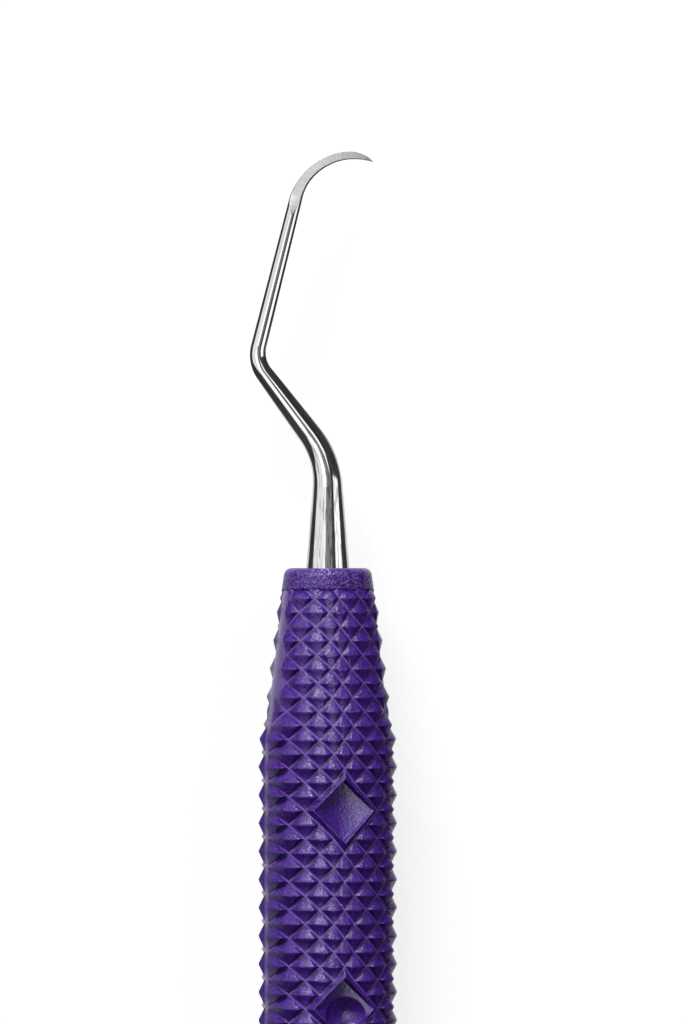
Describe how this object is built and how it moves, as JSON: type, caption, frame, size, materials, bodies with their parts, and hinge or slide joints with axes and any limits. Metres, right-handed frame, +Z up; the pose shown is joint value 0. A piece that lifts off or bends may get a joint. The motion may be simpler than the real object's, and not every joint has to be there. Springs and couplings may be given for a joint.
{
  "type": "double-ended dental hand instrument",
  "caption": "Double-ended dental hand instrument: a diamond-knurled purple resin handle with smooth end collars and slim bent steel shanks ending in curved, ground hook blades.",
  "frame": {"origin": "middle of the handle, on its axis", "axes": "+X along the handle to the end that the picture shows, +Z up from the surface that the instrument lies on, square to the plane of both hooks"},
  "size_m": [0.1708, 0.0106, 0.0094],
  "materials": {
    "purple_resin": "fine spark-eroded satin, moulded",
    "polished_steel": "polished shank with satin ground blade faces",
    "tube_steel": "drawn tube, hidden inside the handle"
  },
  "bodies": {
    "root": {"grip_sleeve": "purple_resin", "core_tube": "tube_steel", "end_collar_a": "purple_resin", "end_collar_b": "purple_resin", "working_end_a": "polished_steel", "working_end_b": "polished_steel"}
  },
  "joints": []
}
